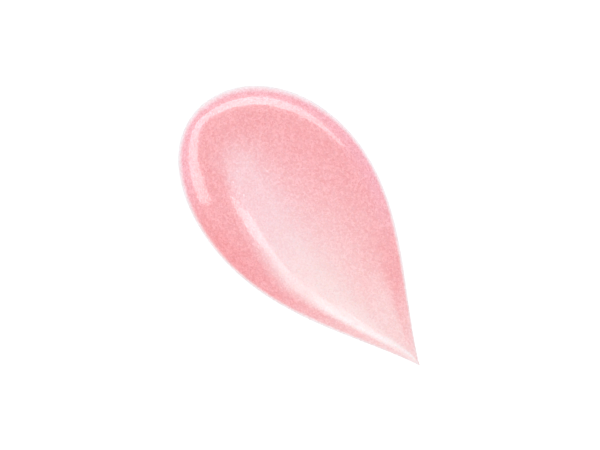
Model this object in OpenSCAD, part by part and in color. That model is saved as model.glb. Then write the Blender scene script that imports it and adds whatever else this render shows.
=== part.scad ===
// A drop of shimmering lip gloss, drawn out on a flat surface into a teardrop.
// Frame: millimetres, +X from the round head to the point of the tail, +Z up.
// The origin is on the flat underside, under the middle of the bounding box.

/* [Outline] */
// Length from the round head to the point of the tail
drop_len = 28.3; // [20:0.1:40]
// Width across the fullest part of the head
drop_width = 14.9; // [10:0.1:20]
// Part of each side's width taken off by half a wave, one wave and one and a half along it
side_waves = [0.13, 0.12, 0.04]; // [0:0.01:0.3]
// Sideways bow of the centre line
bow = 0.38; // [-1:0.01:1]
// Sideways swing of the tail against the head
swing = -0.35; // [-1:0.01:1]

/* [Surface] */
// Capillary length of the gel, over which its rim rises
capillary_len = 1.67; // [1:0.01:2.5]
// Steepness of the rim where it meets the ground at the head, as rise over run
head_rim_slope = 1.28; // [0.8:0.01:1.6]
// Steepness of the rim where it meets the ground along the thin tail
tail_rim_slope = 0.6; // [0.3:0.01:1.2]
// Part of the gel's height that the applicator pushed away along its track
track_depth = 0.32; // [0:0.01:0.4]
// Half-width of the track on its steep side, as a part of the gel's half-width
track_steep_side = 0.35; // [0.3:0.01:0.8]
// Half-width of the track on its gentle side, as a part of the gel's half-width
track_gentle_side = 0.95; // [0.5:0.01:1.2]

/* [Pearl] */
// Number of platelets of each colour
flakes_per_colour = 48; // [12:1:60]
// Width across the corners of the largest platelet
flake_width = 0.3; // [0.15:0.01:0.4]
// Width of the smallest platelet, as a part of the largest one's
flake_least = 0.7; // [0.5:0.01:1]
// Thickness of a platelet
flake_thickness = 0.04; // [0.02:0.01:0.06]
// Steepest tilt of a platelet from level
flake_tilt = 9; // [0:1:12]

/* [Hidden] */

half_len = drop_len / 2;
half_width = drop_width / 2;

// The skin is a net of rings, each with the same columns, from the ridge to the rim.
side_columns = 44;
skin_rings = 14;
column_spread = 0.6;   // below 1, the columns stand wider apart at the tail
ring_spread = 1.6;     // above 1, the rings lie closer together at the rim
columns = 2 * side_columns - 1;

// Along X: the end of the ridge under the head, and where the rim and the track change.
head_centre = -0.475 * half_len;
thick_until = -0.36 * half_len;
thin_from = 0.57 * half_len;
track_start = -0.71 * half_len;
track_full = 0.14 * half_len;

// Pearl platelets lie within these parts of the outline's angle, reach and height.
flake_angles = [60, 300];
flake_reach = 0.78;
flake_heights = [0.35, 0.7];

// Each property of the platelets runs through its range in golden-ratio steps, and takes its
// own number of steps per platelet, so that the pearl looks scattered.
golden_step = (sqrt(5) - 1) / 2;
angle_steps = 1;
tilt_steps = 3;
level_steps = 5;
spin_steps = 7;
width_steps = 11;
colours = 3;

function cosh(v) = (exp(v) + exp(-v)) / 2;
function sinh(v) = (exp(v) - exp(-v)) / 2;
function mix(range, v) = range[0] + (range[1] - range[0]) * v;
function smooth(v) = let (u = min(max(v, 0), 1)) u * u * (3 - 2 * u);

// Teardrop outline: angle a runs from 0 at the tail's point, through 180 at the head, to 360.
function side_shape(a) =
    sin(a) * sin(a / 2) * (1 - side_waves * [cos(a), cos(2 * a), cos(3 * a)]);
side_scale = half_width / max([for (a = [0:180]) side_shape(a)]);
function centre_line(x) = (1 - pow(x / half_len, 2)) * (bow + swing * x / half_len);
function bowed(x, y) = [x, y + centre_line(x)];
side_y = [for (a = [0:360]) bowed(half_len * cos(a), side_scale * side_shape(a))[1]];
mid_y = (max(side_y) + min(side_y)) / 2;
function outline(a) = bowed(half_len * cos(a), side_scale * side_shape(a) - mid_y);

// The ridge follows the centre line from under the head to the tail's point.
function ridge(a) = bowed(mix([head_centre, half_len], (1 + cos(a)) / 2), -mid_y);
function reach(a) = (norm(outline(a) - ridge(a)) + norm(outline(360 - a) - ridge(a))) / 2;

// Height of a still puddle at distance d from a ridge that is r from the rim, where the
// rim leaves the ground with the given steepness.
function puddle(d, r, steepness) = let (c = capillary_len)
    c * steepness * (cosh(r / c) - cosh(d / c)) / sinh(r / c);
function rim_slope(x) =
    mix([tail_rim_slope, head_rim_slope], smooth((thin_from - x) / (thin_from - thick_until)));

// Part of the height that the applicator's track takes away at a point of the skin.
function track(p) =
    let (side = side_scale * side_shape(acos(p[0] / half_len)),
        across = (p[1] + mid_y - centre_line(p[0])) / side,
        spread = across < 0 ? track_steep_side : track_gentle_side)
    track_depth * smooth((p[0] - track_start) / (track_full - track_start))
        * exp(-pow(across / spread, 2));

// Point of the skin at outline angle a, the part f of the way from the ridge to the rim.
function skin_xy(a, f) = ridge(a) + f * (outline(a) - ridge(a));
function skin_z(a, f) = let (p = skin_xy(a, f), r = reach(a))
    puddle(f * r, r, rim_slope(p[0])) * (1 - track(p));
function skin_point(a, f) = let (p = skin_xy(a, f)) [p[0], p[1], f == 1 ? 0 : skin_z(a, f)];

function column_angle(k) = k <= side_columns
    ? 180 * pow(k / side_columns, column_spread)
    : 360 - column_angle(2 * side_columns - k);
function ring_part(j) = 1 - pow(1 - j / skin_rings, ring_spread);

module gel_mass() {
    tip = [[half_len, -mid_y, 0]];
    ridge_points = [for (k = [1:side_columns]) skin_point(column_angle(k), 0)];
    ring_points = [for (j = [1:skin_rings], k = [1:columns])
        skin_point(column_angle(k), ring_part(j))];

    // Index of the point in ring j and column k. Ring 0 is the ridge, which both sides share.
    function at(j, k) = j == 0
        ? min(k, 2 * side_columns - k)
        : side_columns + (j - 1) * columns + k;
    tail_fans = [for (j = [0:skin_rings - 1])
        each [[0, at(j, 1), at(j + 1, 1)], [0, at(j + 1, columns), at(j, columns)]]];
    outward = [for (j = [0:skin_rings - 1], k = [1:columns - 1])
        [at(j, k), at(j + 1, k + 1), at(j + 1, k)]];
    inward = [for (j = [0:skin_rings - 1], k = [1:columns - 1])
        [at(j, k), at(j, k + 1), at(j + 1, k + 1)]];
    underside = [[0, for (k = [1:columns]) at(skin_rings, k)]];

    polyhedron(concat(tip, ridge_points, ring_points),
        concat(tail_fans, outward, inward, underside));
}

// Part of the way through its range that a property of platelet number i has.
function scatter(i, steps) = let (v = steps * i * golden_step) v - floor(v);

// Hexagonal platelet number i, one of a spiral that fills the gel evenly.
module flake(i) {
    a = mix(flake_angles, scatter(i, angle_steps));
    f = flake_reach * sqrt((i + 2) / (colours * flakes_per_colour + 1));
    level = mix(flake_heights, scatter(i, level_steps));
    p = skin_xy(a, f);
    translate([p[0], p[1], level * skin_z(a, f)])
        rotate([flake_tilt * scatter(i, tilt_steps), 0, 360 * scatter(i, spin_steps)])
            cylinder(h = flake_thickness, d = mix([flake_least, 1], scatter(i, width_steps))
                * flake_width, center = true, $fn = 6);
}

// The platelets of one colour: every third one, from the given one on.
module flakes(first) {
    for (i = [first:colours:colours * flakes_per_colour - 1]) flake(i);
}

// The gel has a closed pocket round each platelet.
module gloss_gel() {
    color("lightpink") difference() {
        gel_mass();
        for (first = [0:colours - 1]) flakes(first);
    }
}

module silver_pearl() { color("whitesmoke") flakes(0); }
module rose_pearl() { color("palevioletred") flakes(1); }
module gold_pearl() { color("wheat") flakes(2); }

gloss_gel();
silver_pearl();
rose_pearl();
gold_pearl();
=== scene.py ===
"""A teardrop of shimmering pink lip gloss on a white studio floor.

The gel and its pearl platelets replace the plain CAD solids, in the same place. Lengths inside
the shape functions are millimetres; meshes are made in metres.
"""
import math

import bpy
import numpy as np
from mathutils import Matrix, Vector
from mathutils.bvhtree import BVHTree
from mathutils.kdtree import KDTree


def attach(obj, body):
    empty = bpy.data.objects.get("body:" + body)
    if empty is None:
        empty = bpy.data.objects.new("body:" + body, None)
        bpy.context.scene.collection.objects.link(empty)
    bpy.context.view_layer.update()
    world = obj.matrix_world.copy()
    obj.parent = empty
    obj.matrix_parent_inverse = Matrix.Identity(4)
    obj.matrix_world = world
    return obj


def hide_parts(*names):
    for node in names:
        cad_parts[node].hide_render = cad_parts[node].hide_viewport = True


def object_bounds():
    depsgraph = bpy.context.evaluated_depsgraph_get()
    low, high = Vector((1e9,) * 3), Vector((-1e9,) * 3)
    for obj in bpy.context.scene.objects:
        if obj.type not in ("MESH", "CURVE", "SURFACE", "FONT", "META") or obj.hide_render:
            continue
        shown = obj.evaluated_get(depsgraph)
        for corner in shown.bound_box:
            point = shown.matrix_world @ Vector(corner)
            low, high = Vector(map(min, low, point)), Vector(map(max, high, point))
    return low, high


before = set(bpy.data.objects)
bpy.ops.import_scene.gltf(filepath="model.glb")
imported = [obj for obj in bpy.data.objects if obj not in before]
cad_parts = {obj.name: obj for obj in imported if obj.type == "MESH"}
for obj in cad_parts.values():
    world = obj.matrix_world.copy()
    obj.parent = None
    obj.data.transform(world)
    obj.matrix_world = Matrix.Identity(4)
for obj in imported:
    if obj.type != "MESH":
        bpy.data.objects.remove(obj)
cad_low, cad_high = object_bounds()

MM = 0.001
BODY = "root"

# ---------------------------------------------------------------- the shape of the drop, in mm

HALF_LEN = (cad_high.x - cad_low.x) / 2 / MM
HALF_WIDTH = (cad_high.y - cad_low.y) / 2 / MM

# The outline and the skin follow the same rules as the CAD gel.
SIDE_WAVES = (0.13, 0.12, 0.04)
BOW = 0.38
SWING = -0.35
CAPILLARY_LEN = 1.67
HEAD_RIM_SLOPE = 1.28
TAIL_RIM_SLOPE = 0.6
TRACK_DEPTH = 0.32
TRACK_STEEP_SIDE = 0.35
TRACK_GENTLE_SIDE = 0.95
HEAD_CENTRE = -0.475 * HALF_LEN
THICK_UNTIL = -0.36 * HALF_LEN
THIN_FROM = 0.57 * HALF_LEN
TRACK_START = -0.71 * HALF_LEN
TRACK_FULL = 0.14 * HALF_LEN

RIM_POINTS = 2400       # points round the rim for measuring how far in from it a place is
FLAG_RIM_POINTS = 721   # points round the rim for measuring how far out it reaches

# The net of the skin is finer than the CAD's, so that highlights on it run smoothly.
SIDE_COLUMNS = 240
SKIN_RINGS = 72
COLUMN_SPREAD = 0.6
RING_SPREAD = 1.5


def mix(low, high, amount):
    return low + (high - low) * amount


def smooth(value):
    u = np.clip(value, 0, 1)
    return u * u * (3 - 2 * u)


def ramp(value, start, end):
    """0 before start, 1 after end, and a smooth rise between them."""
    return smooth((value - start) / (end - start))


def side_shape(angle):
    drawn_in = sum(part * np.cos(turns * angle) for turns, part in enumerate(SIDE_WAVES, 1))
    return np.sin(angle) * np.abs(np.sin(angle / 2)) * (1 - drawn_in)


SIDE_SCALE = HALF_WIDTH / side_shape(np.linspace(0, math.pi, 181)).max()


def centre_line(x):
    return (1 - (x / HALF_LEN) ** 2) * (BOW + SWING * x / HALF_LEN)


def raw_outline(angle):
    x = HALF_LEN * np.cos(angle)
    return x, SIDE_SCALE * side_shape(angle) + centre_line(x)


OUTLINE_Y = raw_outline(np.linspace(0, 2 * math.pi, 361))[1]
MID_Y = (OUTLINE_Y.max() + OUTLINE_Y.min()) / 2


def outline(angle):
    """The rim: angle 0 is the tail's point, and pi the top of the head."""
    x, y = raw_outline(angle)
    return np.stack([x, y - MID_Y], -1)


def ridge(angle):
    x = mix(HEAD_CENTRE, HALF_LEN, (1 + np.cos(angle)) / 2)
    return np.stack([x, centre_line(x) - MID_Y], -1)


def across(x, y):
    """Place across the drop, from -1 at one rim through 0 on the centre line to 1."""
    side = SIDE_SCALE * side_shape(np.arccos(np.clip(x / HALF_LEN, -1, 1)))
    return (y + MID_Y - centre_line(x)) / np.maximum(side, 1e-6)


def track(x, y):
    """Part of the height that the applicator's track takes away."""
    place = across(x, y)
    spread = np.where(place < 0, TRACK_STEEP_SIDE, TRACK_GENTLE_SIDE)
    return TRACK_DEPTH * ramp(x, TRACK_START, TRACK_FULL) * np.exp(-((place / spread) ** 2))


def skin(angle, part):
    """Points of the skin, the given part of the way from the ridge to the rim."""
    rim, top = outline(angle), ridge(angle)
    reach = (
        np.linalg.norm(rim - top, axis=-1)
        + np.linalg.norm(outline(2 * math.pi - angle) - top, axis=-1)
    ) / 2
    flat = top + part[..., None] * (rim - top)
    x, y = flat[..., 0], flat[..., 1]
    slope = mix(TAIL_RIM_SLOPE, HEAD_RIM_SLOPE, ramp(-x, -THIN_FROM, -THICK_UNTIL))
    span = np.maximum(reach, 1e-6) / CAPILLARY_LEN
    rise = (np.cosh(span) - np.cosh(part * span)) / np.sinh(span)
    height = CAPILLARY_LEN * slope * rise * (1 - track(x, y))
    return np.stack([x, y, np.maximum(height, 0)], -1)


# ---------------------------------------------------------------- where the colour changes


def bell(value, centre, spread):
    return np.exp(-(((value - centre) / spread) ** 2))


def line(value, start, end):
    """0 before start, 1 after end, and a straight rise between them."""
    return np.clip((value - start) / (end - start), 0, 1)


# In the rules below, a name that ends in _X is a stretch along the drop, in mm. A pair of other
# values holds at the start and at the end of such a stretch. A place is across the drop, from -1
# at the left rim to 1 at the right one, and a band is its middle and its spread.

# The streak is paler gel beside the track, with a pearl sheen painted into it.
STREAK_EDGE = (-0.38, -0.76)
STREAK_EDGE_X = (-9, 2)
STREAK_SOFTNESS = (0.22, 0.12)
STREAK_SOFTNESS_X = (-10, -7.5)
STREAK_FALL_X = (-8, 5)
STREAK_FALL_START = (-0.12, -0.34)
STREAK_FALL_END = (0.72, 1.54)
STREAK_FALL_POWER = (2.7, 2.2)
STREAK_TOP = (0.56, 0.85)
STREAK_TOP_X = (-7.4, 3.7)
STREAK_BEGINS_X = (-11.7, -7.5)

TAIL_MIDDLE = 0.65
TAIL_MIDDLE_X = (-0.3, 9.6)
TAIL_RIGHT_PLACES = (0.27, 0.84)
TAIL_LEFT_PLACES = (-0.95, -0.6)
TAIL_LEFT_X = (2.2, 17)
TAIL_RIGHT_X = (6.5, 17.5)
TAIL_SIDE_PLACES = (-0.8, -0.3)

LEFT_DEEP_PLACE = (-0.92, 0.14)
LEFT_DEEP_X = (-3.5, 4.5)
RIGHT_DEEP = 0.7
RIGHT_DEEP_PLACE = (0.73, 0.14)
RIGHT_DEEP_X = (6, 2.7)

WARMTH_X = (-6, 5)
UPPER_PLACES = (-0.6, 0.2)
UPPER_BACK_X = (6, 11)           # measured from the middle towards the head
COOL_BACK_X = (-6, 0)            # measured from the middle towards the head
COOL_INSETS = (0.2, 2.0)

# The crest band below paints a highlight along the tail in the near-white colour of thin gel.
CREST_PLACE = (-0.65, 0)
CREST_PLACE_X = (6, 13.4)
CREST_SPREAD = (0.07, 0.22)
CREST_SPREAD_X = (5, 13.5)
CREST_TOP = (0.55, 0.65)
CREST_TOP_X = (9, 13)
CREST_BEGINS_X = (3, 6)

RIM_WIDTH = 0.3
RIM_HEAD_EXTRA = (0.12, 0.29)
RIM_HEAD_BACK_X = (2, 13)        # measured from the middle towards the head
RIM_TAIL_NARROWING = (1, 0.5)
RIM_NARROWS_X = (5, 12)
RIM_TAIL_FADE = (1, 0.45)
RIM_FADES_X = (8, 12)
RIM_OVERHANG = -0.1              # where its full strength ends, as a part of its width


def streak(x, place):
    """The pale streak beside the applicator's track, partly thinner gel and partly a painted pearl
    sheen: a crisp left edge, then a long fall to the right.
    """
    edge = mix(*STREAK_EDGE, line(x, *STREAK_EDGE_X))
    soft = mix(*STREAK_SOFTNESS, ramp(x, *STREAK_SOFTNESS_X))
    along = ramp(x, *STREAK_FALL_X)
    start, end = mix(*STREAK_FALL_START, along), mix(*STREAK_FALL_END, along)
    fall = (1 - line(place, start, end)) ** mix(*STREAK_FALL_POWER, along)
    top = mix(*STREAK_TOP, ramp(x, *STREAK_TOP_X)) * ramp(x, *STREAK_BEGINS_X)
    return top * fall * ramp(place, edge - soft, edge + soft)


def thin_tail(x, place):
    """The tail, where the gel is so thin that the ground shines through it."""
    middle = TAIL_MIDDLE * ramp(x, *TAIL_MIDDLE_X) * (1 - ramp(place, *TAIL_RIGHT_PLACES))
    middle = middle * ramp(place, *TAIL_LEFT_PLACES)
    left, right = line(x, *TAIL_LEFT_X), line(x, *TAIL_RIGHT_X)
    return np.maximum(middle, mix(left, right, ramp(place, *TAIL_SIDE_PLACES)))


def pale_gel_and_sheen(x, y):
    """How pale the gel is, 0 to 1: along the streak, which is partly a painted pearl sheen, and in
    the thin tail.
    """
    place = across(x, y)
    return np.maximum(streak(x, place), thin_tail(x, place))


def depth_of_colour(x, y):
    """Bands beside the rim, 0 to 1, where the gel is at its deepest red."""
    place = across(x, y)
    left = bell(place, *LEFT_DEEP_PLACE) * bell(x, *LEFT_DEEP_X)
    right = RIGHT_DEEP * bell(place, *RIGHT_DEEP_PLACE) * bell(x, *RIGHT_DEEP_X)
    return np.minimum(left + right, 1)


def warmth(x, y):
    """From the cool pink of the head, 0, to the peach of the tail, 1."""
    return ramp(x, *WARMTH_X)


def upper_side(x, y):
    """1 round the head and down the right side, and 0 along the left side of the tail."""
    place = across(x, y)
    return np.maximum(ramp(place, *UPPER_PLACES), ramp(-x, *UPPER_BACK_X))


def rim_cool(x, y, inset):
    """The bluish band inside the rim of the head. inset is the distance from the rim in mm."""
    return upper_side(x, y) * ramp(-x, *COOL_BACK_X) * (1 - ramp(inset, *COOL_INSETS))


def painted_tail_highlight(x, place):
    """A highlight painted in the near-white of thin gel along the crest of the tail, 0 to 1."""
    centre = mix(*CREST_PLACE, line(x, *CREST_PLACE_X) ** 3)
    spread = mix(*CREST_SPREAD, line(x, *CREST_SPREAD_X) ** 2)
    top = mix(*CREST_TOP, line(x, *CREST_TOP_X))
    return top * ramp(x, *CREST_BEGINS_X) * bell(place, centre, spread)


def rim(x, place, inset):
    """The rim, 1 at its edge, which is widest on the right of the head."""
    head_extra = mix(*RIM_HEAD_EXTRA, ramp(place, *UPPER_PLACES)) * ramp(-x, *RIM_HEAD_BACK_X)
    width = (RIM_WIDTH + head_extra) * mix(*RIM_TAIL_NARROWING, ramp(x, *RIM_NARROWS_X))
    fade = mix(*RIM_TAIL_FADE, ramp(x, *RIM_FADES_X))
    return fade * (1 - line(inset, RIM_OVERHANG * width, width))


def thin_gel_and_highlight(x, y, inset):
    """How far the colour goes over to the near-white of thin gel, 0 to 1: at the rim, where the gel
    is too thin to hold colour, and along the tail's crest, where this paints a highlight.
    """
    place = across(x, y)
    return np.maximum(rim(x, place, inset), painted_tail_highlight(x, place))


# ---------------------------------------------------------------- mesh helpers


def new_piece(name, vertices, faces, node, material):
    mesh = bpy.data.meshes.new(name)
    mesh.from_pydata(vertices.tolist(), [], faces)
    mesh.materials.append(material)
    mesh.update()
    piece = bpy.data.objects.new(name, mesh)
    bpy.context.scene.collection.objects.link(piece)
    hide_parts(node)
    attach(piece, BODY)
    return piece


def store(mesh, name, values):
    layer = mesh.attributes.new(name, "FLOAT", "POINT")
    layer.data.foreach_set("value", np.asarray(values, dtype=np.float32))


def store_looks(mesh, x, y, inset):
    """Writes what the gel's colour depends on, point by point."""
    store(mesh, "pale_gel_and_sheen", pale_gel_and_sheen(x, y))
    store(mesh, "depth_of_colour", depth_of_colour(x, y))
    store(mesh, "warmth", warmth(x, y))
    store(mesh, "rim_cool", rim_cool(x, y, inset))
    store(mesh, "thin_gel_and_highlight", thin_gel_and_highlight(x, y, inset))


# ---------------------------------------------------------------- pieces


def make_gel(material):
    """The gel as one closed skin: rings round the ridge, and a flat underside."""
    steps = np.arange(1, SIDE_COLUMNS + 1) / SIDE_COLUMNS
    side = math.pi * steps**COLUMN_SPREAD
    angles = np.concatenate([side, 2 * math.pi - side[-2::-1]])
    columns = len(angles)
    parts = 1 - (1 - np.arange(1, SKIN_RINGS + 1) / SKIN_RINGS) ** RING_SPREAD
    parts[-1] = 1

    tip = skin(np.zeros(1), np.ones(1))
    ridge_points = skin(side, np.zeros(SIDE_COLUMNS))
    ring_angles, ring_parts = np.meshgrid(angles, parts)
    rings = skin(ring_angles.ravel(), ring_parts.ravel())
    base = ridge_points * [1, 1, 0]
    points = np.concatenate([tip, ridge_points, rings, base])
    base_start = len(points) - SIDE_COLUMNS

    def at(ring, column):
        """Index of a point; both sides share ring 0, which is the ridge."""
        if ring == 0:
            return min(column, 2 * SIDE_COLUMNS - column)
        return SIDE_COLUMNS + (ring - 1) * columns + column

    def under(column):
        return base_start + min(column, 2 * SIDE_COLUMNS - column) - 1

    faces = []
    for ring in range(SKIN_RINGS):
        faces.append((0, at(ring + 1, 1), at(ring, 1)))
        faces.append((0, at(ring, columns), at(ring + 1, columns)))
        for column in range(1, columns):
            near, far = at(ring, column), at(ring, column + 1)
            outer = (at(ring + 1, column + 1), at(ring + 1, column))
            faces.append((near, *outer[::-1], far) if near != far else (near, *outer[::-1]))
    faces.append((0, under(1), at(SKIN_RINGS, 1)))
    faces.append((0, at(SKIN_RINGS, columns), under(columns)))
    for column in range(1, columns):
        rim = (at(SKIN_RINGS, column), at(SKIN_RINGS, column + 1))
        inner = (under(column + 1), under(column))
        faces.append((*rim[::-1], *inner[::-1]) if inner[0] != inner[1] else (*rim[::-1], inner[0]))

    gel = new_piece("gloss_gel_skin", points * MM, faces, "gloss_gel", material)
    inset = rim_distance(points)
    store_looks(gel.data, points[:, 0], points[:, 1], inset)
    finish_shading(gel.data)
    return gel


def rim_distance(points):
    """Distance in mm from each point to the rim, seen from above."""
    rim = outline(np.linspace(0, 2 * math.pi, RIM_POINTS, endpoint=False))
    tree = KDTree(len(rim))
    for index, spot in enumerate(rim):
        tree.insert((*spot, 0), index)
    tree.balance()
    return np.array([tree.find((x, y, 0))[2] for x, y in points[:, :2]])


def finish_shading(mesh):
    """Smooth skin, with a sharp edge where it meets the flat underside."""
    mesh.shade_smooth()
    under = np.array([polygon.normal.z < -0.99 for polygon in mesh.polygons])
    sides = {}
    for polygon, flat in zip(mesh.polygons, under):
        for key in polygon.edge_keys:
            sides.setdefault(key, set()).add(bool(flat))
    sharp = [len(sides[edge.key]) == 2 for edge in mesh.edges]
    layer = mesh.attributes.new("sharp_edge", "BOOLEAN", "EDGE")
    layer.data.foreach_set("value", sharp)


# Pearl platelets lie in the skin, level with it to within a few thousandths of a millimetre.
FLAKES_PER_COLOUR = 2200
FLAKE_WIDTHS = (0.07, 0.15)
FLAKE_THICKNESS = 0.012
FLAKE_PROUD = 0.003
FLAKE_TILT = math.radians(1.2)
FLAKE_MARGIN = 0.25
FLAKE_SIDEMOST = 0.98   # the furthest place across the drop
FLAKE_TRIES = 3         # spots drawn for each one wanted, since some fall outside the drop
FLAKE_SEED = 11
COLOURS = 3


def scatter_flakes():
    """Places for all the platelets: points of the skin, its normals, and their insets."""
    rng = np.random.default_rng(FLAKE_SEED)
    wanted = COLOURS * FLAKES_PER_COLOUR
    spots = rng.uniform(-1, 1, (wanted * FLAKE_TRIES, 2)) * [HALF_LEN, HALF_WIDTH]
    spots = spots[np.abs(across(spots[:, 0], spots[:, 1])) < FLAKE_SIDEMOST]
    inset = rim_distance(spots)
    keep = inset > FLAKE_MARGIN
    return spots[keep][:wanted], inset[keep][:wanted], rng


def make_flakes(gel, names_and_materials):
    """One piece of separate hexagonal platelets for each colour of pearl."""
    tree = BVHTree.FromPolygons(
        [v.co for v in gel.data.vertices], [p.vertices for p in gel.data.polygons]
    )
    spots, inset, rng = scatter_flakes()
    corner_angles = np.arange(6) * math.pi / 3
    for turn, (name, node, material) in enumerate(names_and_materials):
        points, faces, looks = [], [], []
        for index in range(turn, len(spots), COLOURS):
            x, y = spots[index]
            place, normal, _, _ = tree.ray_cast(Vector((x * MM, y * MM, 1)), Vector((0, 0, -1)))
            lean = Vector(rng.normal(0, FLAKE_TILT, 3))
            normal = (normal + lean).normalized()
            along = normal.orthogonal().normalized()
            beside = normal.cross(along)
            radius = rng.uniform(*FLAKE_WIDTHS) / 2 * MM
            start = len(points)
            spin = rng.uniform(0, math.pi / 3)
            for level in (FLAKE_PROUD, FLAKE_PROUD - FLAKE_THICKNESS):
                for angle in corner_angles + spin:
                    reach = along * math.cos(angle) + beside * math.sin(angle)
                    points.append(place + reach * radius + normal * level * MM)
                    looks.append((x, y, inset[index]))
            faces.append(tuple(range(start, start + 6)))
            faces.append(tuple(range(start + 11, start + 5, -1)))
            for side in range(6):
                other = (side + 1) % 6
                faces.append((start + side, start + 6 + side, start + 6 + other, start + other))
        piece = new_piece(name, np.array(points), faces, node, material)
        store_looks(piece.data, *np.array(looks).T)


# ---------------------------------------------------------------- materials

DEEP_PINK = (0.825, 0.335, 0.365, 1)
DEEPEST_RED = (0.815, 0.275, 0.300, 1)
COOL_PINK = (0.825, 0.355, 0.425, 1)
# The pale colours serve the streak, which is partly a painted pearl sheen. The near-white colour of
# thin gel also paints a highlight along the crest of the tail.
PALE_COOL = (0.845, 0.650, 0.700, 1)
PALE_PEACH = (0.850, 0.670, 0.670, 1)
THIN_GEL_AND_HIGHLIGHT = (0.86, 0.83, 0.85, 1)
GRAIN_SIZE = 0.13 * MM
CLOUD_SIZE = 1.6 * MM

# Factors on the gel's colour from cell to cell of the grain, and over the broad clouds in it.
GREEN_GRAIN = (0.77, 1.23)
RED_GRAIN = (0.92, 1.08)
BLUE_GRAIN = (0.97, 1.03)
CLOUDS = (0.96, 1.04)
GRAIN_STRENGTH = (1.0, 0.1)     # in the deepest gel and in the palest
GRAIN_ROUGHNESS = (0.32, 0.48)
BUMP_STRENGTH = 0.15
BUMP_HEIGHT = 0.01 * MM


class Nodes:
    """Short calls for building a material's node tree."""

    def __init__(self, material):
        material.use_nodes = True
        self.tree = material.node_tree
        self.shader = self.tree.nodes["Principled BSDF"]

    def add(self, kind, inputs=(), **settings):
        node = self.tree.nodes.new(kind)
        for key, value in settings.items():
            setattr(node, key, value)
        for key, value in dict(inputs).items():
            self.feed(node.inputs[key], value)
        return node

    def feed(self, socket, value):
        if isinstance(value, bpy.types.NodeSocket):
            self.tree.links.new(value, socket)
        else:
            socket.default_value = value

    def attribute(self, name):
        return self.add("ShaderNodeAttribute", attribute_name=name).outputs["Fac"]

    def math(self, operation, first, second):
        node = self.add("ShaderNodeMath", {0: first, 1: second}, operation=operation)
        return node.outputs[0]

    def vector(self, operation, first, second=(0, 0, 0)):
        return self.add("ShaderNodeVectorMath", {0: first, 1: second}, operation=operation)

    def blend(self, first, second, amount, mode="MIX"):
        node = self.add("ShaderNodeMix", data_type="RGBA", blend_type=mode, clamp_factor=True)
        colour_inputs = [s for s in node.inputs if s.type == "RGBA"]
        self.feed(node.inputs[0], amount)
        self.feed(colour_inputs[0], first)
        self.feed(colour_inputs[1], second)
        return next(s for s in node.outputs if s.type == "RGBA")

    def range(self, value, low, high):
        """Maps 0..1 to low..high."""
        node = self.add("ShaderNodeMapRange", {"Value": value, "To Min": low, "To Max": high})
        return node.outputs["Result"]


def gel_colour(nodes):
    """Deep pink, paler along the streak and the tail, and nearly white at the very rim. The streak
    holds a painted pearl sheen, and a highlight is painted nearly white along the tail's crest.
    """
    deep = nodes.blend(DEEP_PINK, DEEPEST_RED, nodes.attribute("depth_of_colour"))
    deep = nodes.blend(deep, COOL_PINK, nodes.attribute("rim_cool"))
    pale = nodes.blend(PALE_COOL, PALE_PEACH, nodes.attribute("warmth"))
    # Paler along the streak and the tail; the streak's paleness is partly a painted pearl sheen.
    body = nodes.blend(deep, pale, nodes.attribute("pale_gel_and_sheen"))
    # Nearly white at the rim, where the gel is thin, and along the tail's crest, where this is a
    # painted highlight.
    return nodes.blend(body, THIN_GEL_AND_HIGHLIGHT, nodes.attribute("thin_gel_and_highlight"))


def wet_coat(shader):
    """A smooth clear film over the pearl, which gives the hard-edged highlights."""
    shader.inputs["Coat Weight"].default_value = 1.0
    shader.inputs["Coat Roughness"].default_value = 0.04
    shader.inputs["Coat IOR"].default_value = 1.5


def gel_material():
    material = bpy.data.materials.new("wet pearl gel")
    nodes = Nodes(material)
    shader = nodes.shader
    place = nodes.add("ShaderNodeTexCoord").outputs["Object"]
    grain = nodes.add(
        "ShaderNodeTexVoronoi", {"Vector": place, "Scale": 1 / GRAIN_SIZE}, feature="F1"
    )
    clouds = nodes.add(
        "ShaderNodeTexNoise", {"Vector": place, "Scale": 1 / CLOUD_SIZE, "Detail": 3.0}
    )
    speck = nodes.add("ShaderNodeSeparateColor", {"Color": grain.outputs["Color"]})
    fine = nodes.range(speck.outputs["Red"], *GREEN_GRAIN)
    broad = nodes.range(clouds.outputs["Fac"], *CLOUDS)
    red = nodes.range(speck.outputs["Red"], *RED_GRAIN)
    green = nodes.math("MULTIPLY", fine, broad)
    blue = nodes.math("MULTIPLY", green, nodes.range(speck.outputs["Green"], *BLUE_GRAIN))
    grain_colour = nodes.add("ShaderNodeCombineColor", {"Red": red, "Green": green, "Blue": blue})
    # The grain is weaker where the gel is pale, including the painted sheen and the painted
    # highlight.
    paleness = nodes.math("MAXIMUM", nodes.attribute("pale_gel_and_sheen"), nodes.attribute("thin_gel_and_highlight"))
    strength = nodes.range(paleness, *GRAIN_STRENGTH)
    colour = nodes.blend(gel_colour(nodes), grain_colour.outputs[0], strength, "MULTIPLY")
    nodes.feed(shader.inputs["Base Color"], colour)
    roughness = nodes.range(speck.outputs["Green"], *GRAIN_ROUGHNESS)
    nodes.feed(shader.inputs["Roughness"], roughness)
    bump = nodes.add(
        "ShaderNodeBump",
        {"Height": speck.outputs["Blue"], "Strength": BUMP_STRENGTH, "Distance": BUMP_HEIGHT},
    )
    nodes.feed(shader.inputs["Normal"], bump.outputs["Normal"])
    shader.inputs["Subsurface Weight"].default_value = 0.15
    shader.inputs["Subsurface Radius"].default_value = (1.0, 0.4, 0.35)
    shader.inputs["Subsurface Scale"].default_value = 0.6 * MM
    shader.inputs["IOR"].default_value = 1.45
    wet_coat(shader)
    return material


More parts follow.
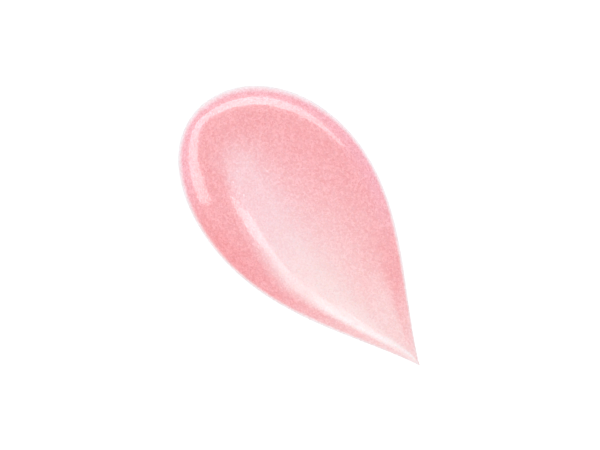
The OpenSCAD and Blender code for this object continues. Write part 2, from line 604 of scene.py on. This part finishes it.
def flake_material(name, tint):
    """A pearl platelet seen through the gel: the gel's colour there, with its painted sheen and
    highlight, shifted by its own tint.
    """
    material = bpy.data.materials.new(name)
    nodes = Nodes(material)
    shader = nodes.shader
    nodes.feed(
        shader.inputs["Base Color"], nodes.blend(gel_colour(nodes), (*tint, 1), 1.0, "MULTIPLY")
    )
    shader.inputs["Roughness"].default_value = 0.25
    shader.inputs["IOR"].default_value = 1.5
    wet_coat(shader)
    return material


# ---------------------------------------------------------------- studio

VIEW_TURN = math.radians(50.45)  # how far the camera is rolled against the length of the drop
FRAME_WIDTH = 50 * MM            # width of the floor that the camera takes in
LENS = 120.0
SENSOR = 36.0
VIEW_CENTRE = (-1.24 * MM, -0.68 * MM)
ROOM = 0.4                       # distance from the drop to the strip lights, in metres

# The two strip lights, each a smooth band through a few places along its middle. A place is
# in degrees from straight up, to the camera's right and up the picture. The band's half-width
# there, in degrees, and its radiance follow.
HEAD_STRIP = [
    (48, 38, 4, 4.5),
    (25, 60, 10, 5.0),
    (-10, 65, 10, 6.0),
    (-60, 45, 8, 5.0),
    (-65, 5, 12, 4.5),
    (-55, -20, 15, 5.0),
]
SIDE_STRIP = [
    (-16, -4, 0.5, 5.0),
    (-5, -9, 6, 5.0),
    (0, -20, 3, 3.0),
    (-5, -35, 4, 2.0),
    (-15, -60, 4, 1.5),
]
STRIP_STEPS = 40

# A white flag in front of the head strip keeps its light off the flat top of the drop. It passes
# the rays that cross the inside of the rim, this far in, below the first of these heights. Above
# the second one it looks like the plain sky. All three are in mm.
FLAG_INSET = 2.0
FLAG_HEIGHTS = (1.8, 2.2)
SKY_RADIANCE = 1.15

FLOOR_REACH = 1.5              # from the drop to the edge of the floor, in metres
FLOOR_GAP = 0.002 * MM         # between the drop and the floor, so that their faces don't fight


def make_floor():
    mesh = bpy.data.meshes.new("floor")
    far = FLOOR_REACH
    corners = [(-far, -far, 0), (far, -far, 0), (far, far, 0), (-far, far, 0)]
    mesh.from_pydata(corners, [], [(0, 1, 2, 3)])
    floor = bpy.data.objects.new("floor", mesh)
    floor.location.z = -FLOOR_GAP
    material = bpy.data.materials.new("white floor")
    shader = Nodes(material).shader
    shader.inputs["Base Color"].default_value = (0.96, 0.96, 0.96, 1)
    shader.inputs["Roughness"].default_value = 0.9
    shader.inputs["Specular IOR Level"].default_value = 0.0
    mesh.materials.append(material)
    bpy.context.scene.collection.objects.link(floor)


def flag(nodes, radiance):
    """The given radiance below the edge of the flag, and the plain sky's above it."""
    geometry = nodes.add("ShaderNodeNewGeometry").outputs
    here, ray = geometry["Position"], geometry["Incoming"]
    flat = nodes.vector("MULTIPLY", here, (1, 1, 0)).outputs["Vector"]
    outward = nodes.vector("NORMALIZE", flat).outputs["Vector"]
    start = nodes.vector("DOT_PRODUCT", here, outward).outputs["Value"]
    speed = nodes.vector("DOT_PRODUCT", ray, outward).outputs["Value"]
    way = nodes.math("DIVIDE", nodes.math("SUBTRACT", nodes.attribute("rim_reach"), start), speed)
    drop = nodes.math("MULTIPLY", nodes.add("ShaderNodeSeparateXYZ", {0: ray}).outputs["Z"], way)
    height = nodes.math("ADD", nodes.add("ShaderNodeSeparateXYZ", {0: here}).outputs["Z"], drop)
    low, high = (level * MM for level in FLAG_HEIGHTS)
    limits = {"From Min": low, "From Max": high, "To Min": radiance, "To Max": SKY_RADIANCE}
    return nodes.add("ShaderNodeMapRange", {"Value": height, **limits}).outputs["Result"]


def smooth_through(places):
    """A smooth curve through the given places, as close points along it."""
    before, after = 2 * places[0] - places[1], 2 * places[-1] - places[-2]
    guides = np.concatenate([[before], places, [after]])
    step = np.linspace(0, 1, STRIP_STEPS, endpoint=False)[:, None]
    spans = []
    for first, start, end, last in zip(guides, guides[1:], guides[2:], guides[3:]):
        leaving, arriving = (end - first) / 2, (last - start) / 2
        square = 3 * (end - start) - 2 * leaving - arriving
        cube = leaving + arriving - 2 * (end - start)
        spans.append(start + step * leaving + step**2 * square + step**3 * cube)
    return np.concatenate([*spans, places[-1:]])


def strip_light(name, places, flagged=False):
    """A curved luminous strip that only glossy surfaces see."""
    curve = smooth_through(np.array(places, dtype=float))
    middle, half_width, radiance = curve[:, :2], curve[:, 2:3], curve[:, 3]
    way = np.gradient(middle, axis=0)
    beside = np.stack([-way[:, 1], way[:, 0]], -1) / np.linalg.norm(way, axis=1)[:, None]
    ends = []
    for edge in (middle - beside * half_width, middle + beside * half_width):
        tilt = np.radians(np.linalg.norm(edge, axis=1))
        turn = np.arctan2(edge[:, 1], edge[:, 0]) + VIEW_TURN
        flat = np.sin(tilt)
        ends.append(np.stack([flat * np.cos(turn), flat * np.sin(turn), np.cos(tilt)], -1))
    count = len(curve)
    faces = [(i, i + 1, i + 1 + count, i + count) for i in range(count - 1)]
    mesh = bpy.data.meshes.new(name)
    mesh.from_pydata((np.concatenate(ends) * ROOM).tolist(), [], faces)
    store(mesh, "radiance", np.tile(radiance, 2))
    outward = np.concatenate(ends)[:, :2]
    outward /= np.linalg.norm(outward, axis=1)[:, None]
    rim = outline(np.linspace(0, 2 * math.pi, FLAG_RIM_POINTS))
    store(mesh, "rim_reach", ((outward @ rim.T).max(axis=1) - FLAG_INSET) * MM)
    strip = bpy.data.objects.new(name, mesh)
    material = bpy.data.materials.new(name)
    nodes = Nodes(material)
    nodes.shader.inputs["Base Color"].default_value = (0, 0, 0, 1)
    nodes.shader.inputs["Specular IOR Level"].default_value = 0.0
    nodes.shader.inputs["Emission Color"].default_value = (1, 1, 1, 1)
    strength = nodes.attribute("radiance")
    if flagged:
        strength = flag(nodes, strength)
    nodes.feed(nodes.shader.inputs["Emission Strength"], strength)
    mesh.materials.append(material)
    bpy.context.scene.collection.objects.link(strip)
    strip.visible_camera = False
    strip.visible_diffuse = False
    strip.visible_shadow = False


def make_sky():
    world = bpy.data.worlds.new("studio")
    world.use_nodes = True
    background = world.node_tree.nodes["Background"]
    background.inputs["Color"].default_value = (1, 1, 1, 1)
    background.inputs["Strength"].default_value = SKY_RADIANCE
    bpy.context.scene.world = world


def make_camera():
    data = bpy.data.cameras.new("camera")
    data.lens = LENS
    data.sensor_width = SENSOR
    camera = bpy.data.objects.new("camera", data)
    camera.location = (*VIEW_CENTRE, FRAME_WIDTH * LENS / SENSOR)
    camera.rotation_euler = (0, 0, VIEW_TURN)
    bpy.context.scene.collection.objects.link(camera)
    bpy.context.scene.camera = camera


bpy.context.scene.view_settings.view_transform = "Standard"
make_camera()
make_sky()
make_floor()
strip_light("head strip light", HEAD_STRIP, flagged=True)
strip_light("side strip light", SIDE_STRIP)

gel_piece = make_gel(gel_material())
make_flakes(
    gel_piece,
    [
        ("silver_pearl_flakes", "silver_pearl", flake_material("silver pearl", (1.0, 1.08, 1.1))),
        ("rose_pearl_flakes", "rose_pearl", flake_material("rose pearl", (1.0, 0.93, 0.96))),
        ("gold_pearl_flakes", "gold_pearl", flake_material("gold pearl", (1.02, 1.03, 0.95))),
    ],
)
